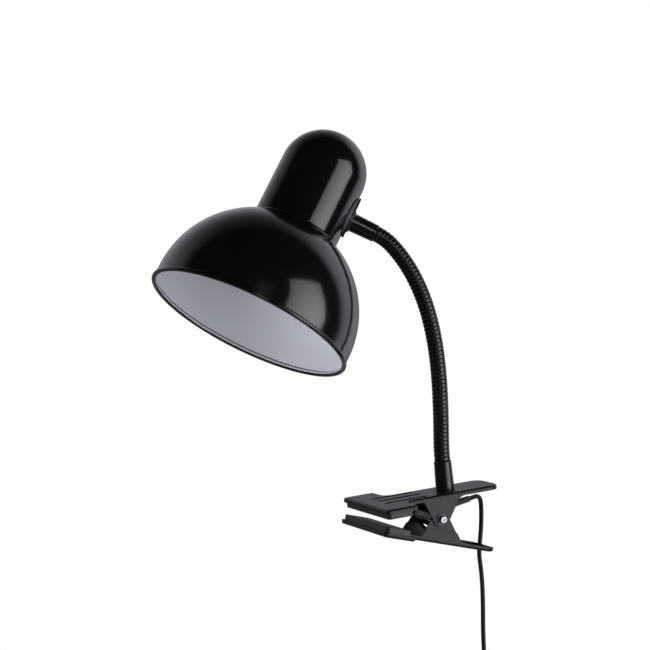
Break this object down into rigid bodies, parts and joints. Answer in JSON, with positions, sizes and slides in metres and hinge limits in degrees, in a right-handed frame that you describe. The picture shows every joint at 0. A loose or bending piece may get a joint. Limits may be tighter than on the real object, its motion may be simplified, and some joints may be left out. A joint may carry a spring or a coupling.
{
  "type": "clip-on gooseneck lamp",
  "caption": "Black clip-on reading lamp with a round metal shade, a ribbed gooseneck and a sprung clamp.",
  "frame": {"origin": "middle of the upper jaw pad's face, where the lamp grips the top of a shelf", "axes": "+X from the jaws towards the handles, +Y away from the picture's camera side, +Z square to the upper clip plate, up"},
  "size_m": [0.238, 0.1518, 0.5893],
  "materials": {
    "gloss_black": "gloss black stove enamel",
    "satin_black": "satin black powder coat",
    "neck_black": "semi-gloss black paint",
    "pad_rubber": "matte black rubber",
    "spring_steel": "dark oiled spring steel",
    "bright_zinc": "bright zinc plate",
    "holder_black": "black moulded plastic",
    "holder_white": "glazed white insulator",
    "brass": "stamped brass",
    "cord_black": "black PVC sheath",
    "switch_black": "black moulded plastic",
    "tie_black": "black nylon",
    "pin_nickel": "nickel plated brass"
  },
  "bodies": {
    "clip_base": {"upper_clip_plate": "satin_black", "upper_jaw_pad": "pad_rubber", "pivot_screw": "bright_zinc", "pivot_nut": "bright_zinc", "pivot_washers": "bright_zinc", "torsion_spring": "spring_steel", "base_ferrule": "neck_black", "base_washer": "bright_zinc", "base_nut": "bright_zinc", "cord_outlet": "pad_rubber", "neck_segment_01": "neck_black", "supply_cord": "cord_black", "cord_coil": "cord_black", "cord_tie": "tie_black", "switch_base": "switch_black", "switch_cover": "switch_black", "switch_screws": "bright_zinc", "plug_body": "switch_black", "plug_pins": "pin_nickel"},
    "lower_jaw": {"lower_clip_plate": "satin_black", "lower_jaw_pad": "pad_rubber"},
    "neck_02": {"neck_segment_02": "neck_black"},
    "neck_03": {"neck_segment_03": "neck_black"},
    "neck_04": {"neck_segment_04": "neck_black"},
    "neck_05": {"neck_segment_05": "neck_black"},
    "neck_06": {"neck_segment_06": "neck_black"},
    "neck_07": {"neck_segment_07": "neck_black"},
    "neck_08": {"neck_segment_08": "neck_black"},
    "neck_09": {"neck_segment_09": "neck_black"},
    "neck_10": {"neck_segment_10": "neck_black"},
    "neck_11": {"neck_segment_11": "neck_black"},
    "head": {"neck_segment_12": "neck_black", "head_ferrule": "neck_black", "backing_disc": "gloss_black", "saddle_gasket": "pad_rubber", "head_nut": "bright_zinc", "holder_strip": "bright_zinc", "holder_nut": "bright_zinc", "neck_cap": "gloss_black", "shade_bowl": "gloss_black", "shade_ring": "holder_black", "lampholder_body": "holder_black", "terminal_screws": "brass", "contact_base": "holder_white", "screw_shell": "brass", "centre_contact": "brass"},
    "rocker": {"switch_rocker": "switch_black"}
  },
  "joints": [
    {"name": "clip_open", "type": "hinge", "parent": "clip_base", "child": "lower_jaw", "pos_m": [0.041, 0, -0.0106], "axis": [0, -1, 0], "range_deg": [0, 36], "stiffness_Nm_per_rad": 1.2, "springref_deg": -40.11, "deforming": ["torsion_spring"]},
    {"name": "neck_nod_1", "type": "hinge", "parent": "clip_base", "child": "neck_02", "pos_m": [0.05514, 0.00012, 0.04368], "axis": [-0.4226, -0.906, 0.0253], "range_deg": [-10, 7]},
    {"name": "neck_sway_1", "type": "hinge", "parent": "neck_02", "child": "neck_03", "pos_m": [0.05634, -0.00002, 0.05863], "axis": [0.9031, -0.4233, -0.0719], "range_deg": [-9, 9]},
    {"name": "neck_nod_2", "type": "hinge", "parent": "neck_03", "child": "neck_04", "pos_m": [0.05734, -0.00007, 0.0736], "axis": [-0.4226, -0.906, 0.0253], "range_deg": [-10, 7]},
    {"name": "neck_sway_2", "type": "hinge", "parent": "neck_04", "child": "neck_05", "pos_m": [0.05799, 0.00004, 0.08858], "axis": [0.9059, -0.4231, -0.0198], "range_deg": [-9, 9]},
    {"name": "neck_nod_3", "type": "hinge", "parent": "neck_05", "child": "neck_06", "pos_m": [0.05811, 0.00041, 0.10358], "axis": [-0.4226, -0.906, 0.0253], "range_deg": [-10, 7]},
    {"name": "neck_sway_3", "type": "hinge", "parent": "neck_06", "child": "neck_07", "pos_m": [0.05751, 0.00111, 0.11855], "axis": [0.9038, -0.4192, 0.086], "range_deg": [-9, 9]},
    {"name": "neck_nod_4", "type": "hinge", "parent": "neck_07", "child": "neck_08", "pos_m": [0.05599, 0.00223, 0.13342], "axis": [-0.4226, -0.906, 0.0253], "range_deg": [-10, 7]},
    {"name": "neck_sway_4", "type": "hinge", "parent": "neck_08", "child": "neck_09", "pos_m": [0.05332, 0.00388, 0.14809], "axis": [0.8795, -0.4032, 0.2526], "range_deg": [-9, 9]},
    {"name": "neck_nod_5", "type": "hinge", "parent": "neck_09", "child": "neck_10", "pos_m": [0.04932, 0.00615, 0.16235], "axis": [-0.4226, -0.906, 0.0253], "range_deg": [-10, 7]},
    {"name": "neck_sway_5", "type": "hinge", "parent": "neck_10", "child": "neck_11", "pos_m": [0.04379, 0.00911, 0.17597], "axis": [0.8021, -0.3609, 0.4759], "range_deg": [-9, 9]},
    {"name": "neck_nod_6", "type": "hinge", "parent": "neck_11", "child": "head", "pos_m": [0.03659, 0.01282, 0.18857], "axis": [-0.4226, -0.906, 0.0253], "range_deg": [-10, 7]},
    {"name": "rocker_tip", "type": "hinge", "parent": "clip_base", "child": "rocker", "pos_m": [0.0851, 0.0135, -0.15585], "axis": [1, 0, 0], "range_deg": [0, 16]}
  ],
  "couplings": [
    {"joint": "neck_nod_2", "follows": "neck_nod_1", "ratio": 1},
    {"joint": "neck_sway_2", "follows": "neck_sway_1", "ratio": 1},
    {"joint": "neck_nod_3", "follows": "neck_nod_1", "ratio": 1},
    {"joint": "neck_sway_3", "follows": "neck_sway_1", "ratio": 1},
    {"joint": "neck_nod_4", "follows": "neck_nod_1", "ratio": 1},
    {"joint": "neck_sway_4", "follows": "neck_sway_1", "ratio": 1},
    {"joint": "neck_nod_5", "follows": "neck_nod_1", "ratio": 1},
    {"joint": "neck_sway_5", "follows": "neck_sway_1", "ratio": 1},
    {"joint": "neck_nod_6", "follows": "neck_nod_1", "ratio": 1}
  ]
}
